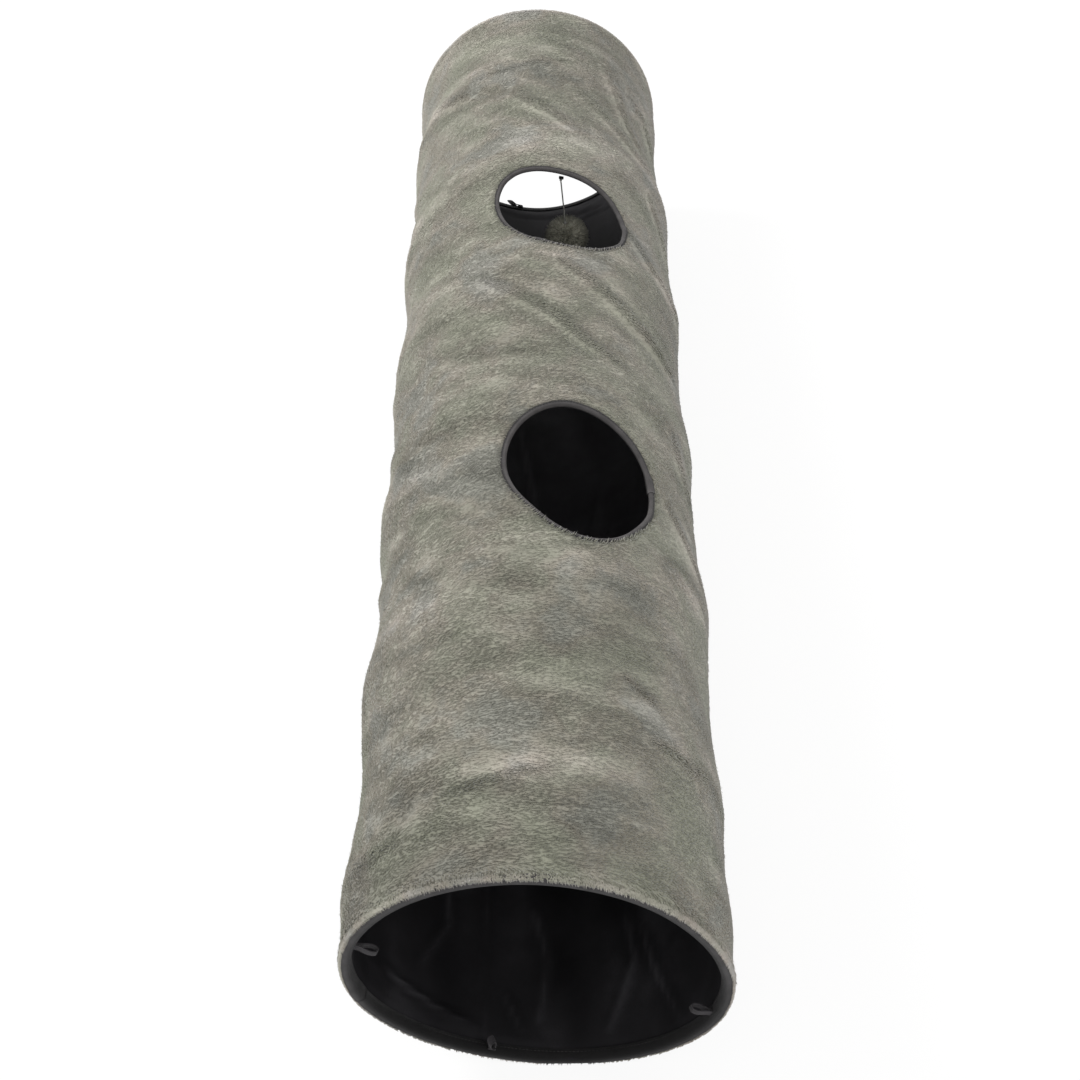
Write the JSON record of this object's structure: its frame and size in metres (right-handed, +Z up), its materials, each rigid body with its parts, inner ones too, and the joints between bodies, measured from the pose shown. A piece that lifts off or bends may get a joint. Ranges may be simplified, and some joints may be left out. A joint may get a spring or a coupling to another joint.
{
  "type": "cat play tunnel",
  "caption": "Collapsible plush play tunnel held open by a spring wire, with bound peek holes, tape loops and a pom-pom hanging on an elastic cord.",
  "frame": {"origin": "on the floor, under the middle of the tunnel", "axes": "+Y along the tunnel from the near mouth to the far mouth, +Z up, so that the peek holes face up and to the right, towards +X"},
  "size_m": [0.3, 1.2, 0.2984],
  "materials": {
    "plush": "short brushed plush pile, grey with an olive cast",
    "lining": "thin smooth woven lining, near black",
    "binding_tape": "woven binding tape, dark warm grey",
    "spring_steel": "plain spring steel",
    "vinyl_cap": "soft vinyl, black",
    "elastic": "braided round elastic, light grey",
    "pompom_fluff": "fluffy yarn, grey"
  },
  "bodies": {
    "near_end": {"near_rim_binding": "binding_tape", "near_wire_cap": "vinyl_cap", "plush_cover": "plush", "lining": "lining", "wire_casing_tape": "lining", "spring_wire": "spring_steel", "near_hole_binding": "binding_tape", "far_hole_binding": "binding_tape"},
    "far_end": {"far_rim_binding": "binding_tape", "far_wire_cap": "vinyl_cap"},
    "near_left_loop": {"near_loop_left": "binding_tape"},
    "near_bottom_loop": {"near_loop_bottom": "binding_tape"},
    "near_right_loop": {"near_loop_right": "binding_tape"},
    "far_left_loop": {"far_loop_left": "binding_tape"},
    "far_bottom_loop": {"far_loop_bottom": "binding_tape"},
    "far_right_loop": {"far_loop_right": "binding_tape"},
    "toy_tab": {"cord_tab": "binding_tape"},
    "toy_knot": {"cord_knot": "elastic"},
    "toy_cord": {"elastic_cord": "elastic"},
    "toy": {"pompom_knot": "elastic", "pompom": "pompom_fluff"}
  },
  "joints": [
    {"name": "collapse", "type": "slide", "parent": "near_end", "child": "far_end", "axis": [0, -1, 0], "range_m": [0, 1.12], "stiffness_N_per_m": 15, "springref_m": -0.2, "deforming": ["plush_cover", "lining", "wire_casing_tape", "spring_wire", "near_hole_binding", "far_hole_binding"]},
    {"name": "tab_travel", "type": "slide", "parent": "near_end", "child": "toy_tab", "axis": [0, -1, 0], "range_m": [0, 0.808]},
    {"name": "toy_swing_along", "type": "hinge", "parent": "toy_tab", "child": "toy_knot", "pos_m": [0.03807, 0.26513, 0.27531], "axis": [1, 0, 0], "range_deg": [-45, 45]},
    {"name": "toy_swing_across", "type": "hinge", "parent": "toy_knot", "child": "toy_cord", "pos_m": [0.03807, 0.26513, 0.27531], "axis": [0, 1, 0], "range_deg": [-20, 45]},
    {"name": "toy_stretch", "type": "slide", "parent": "toy_cord", "child": "toy", "axis": [0, 0, -1], "range_m": [0, 0.08], "stiffness_N_per_m": 20, "springref_m": -0.02, "deforming": ["elastic_cord"]},
    {"name": "near_left_loop_flop", "type": "hinge", "parent": "near_end", "child": "near_left_loop", "pos_m": [-0.12541, -0.5955, 0.20241], "axis": [-0.3907, 0, -0.9205], "range_deg": [-85, 85], "stiffness_Nm_per_rad": 0.0005},
    {"name": "near_bottom_loop_flop", "type": "hinge", "parent": "near_end", "child": "near_bottom_loop", "pos_m": [-0.05104, -0.5955, 0.02286], "axis": [0.9272, 0, -0.3746], "range_deg": [-85, 85], "stiffness_Nm_per_rad": 0.0005},
    {"name": "near_right_loop_flop", "type": "hinge", "parent": "near_end", "child": "near_right_loop", "pos_m": [0.12139, -0.5955, 0.08732], "axis": [0.454, 0, 0.891], "range_deg": [-85, 85], "stiffness_Nm_per_rad": 0.0005},
    {"name": "far_left_loop_flop", "type": "hinge", "parent": "far_end", "child": "far_left_loop", "pos_m": [-0.13063, 0.5955, 0.18787], "axis": [-0.284, 0, -0.9588], "range_deg": [-85, 85], "stiffness_Nm_per_rad": 0.0005},
    {"name": "far_bottom_loop_flop", "type": "hinge", "parent": "far_end", "child": "far_bottom_loop", "pos_m": [-0.03641, 0.5955, 0.01789], "axis": [0.9636, 0, -0.2672], "range_deg": [-85, 85], "stiffness_Nm_per_rad": 0.0005},
    {"name": "far_right_loop_flop", "type": "hinge", "parent": "far_end", "child": "far_right_loop", "pos_m": [0.12762, 0.5955, 0.10146], "axis": [0.3502, 0, 0.9367], "range_deg": [-85, 85], "stiffness_Nm_per_rad": 0.0005}
  ],
  "couplings": [
    {"joint": "tab_travel", "follows": "collapse", "ratio": 0.72094}
  ]
}
